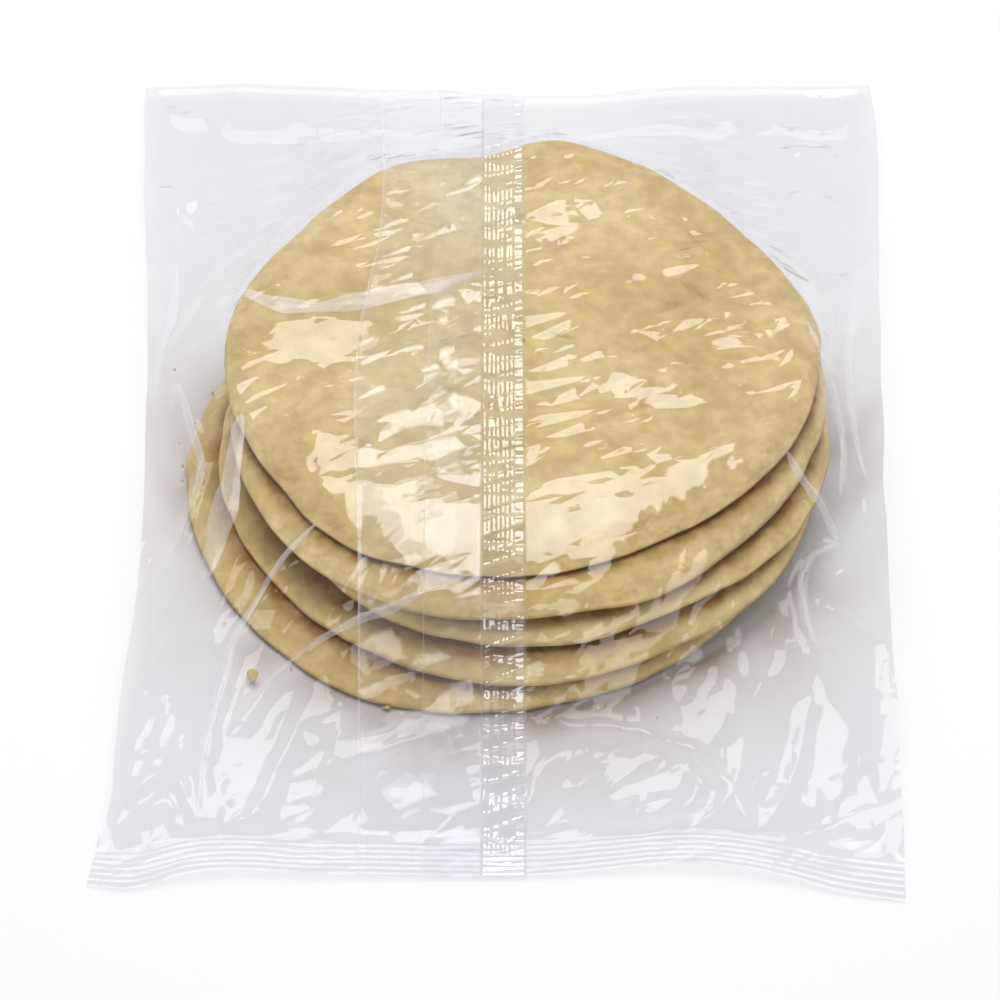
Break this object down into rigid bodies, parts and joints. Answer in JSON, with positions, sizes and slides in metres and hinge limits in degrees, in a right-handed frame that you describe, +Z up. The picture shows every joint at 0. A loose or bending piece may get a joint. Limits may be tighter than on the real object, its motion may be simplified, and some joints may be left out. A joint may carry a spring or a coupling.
{
  "type": "bagged flatbread stack",
  "caption": "Sealed clear film bag, crimped at both ends, lying flat round a stack of round flatbreads that shows through it.",
  "frame": {"origin": "middle of the flat underside that rests on the table", "axes": "+Z up, +Y along the bag from the near crimped seal to the far one, +X across the bag to the right as seen from the near end"},
  "size_m": [0.2327, 0.3288, 0.0515],
  "materials": {
    "film": "clear glossy film, drawn as it looks over pale bread",
    "bread": "pale soft baked dough with a dry matt skin"
  },
  "bodies": {
    "root": {"clear_bag": "film"}
  },
  "joints": []
}
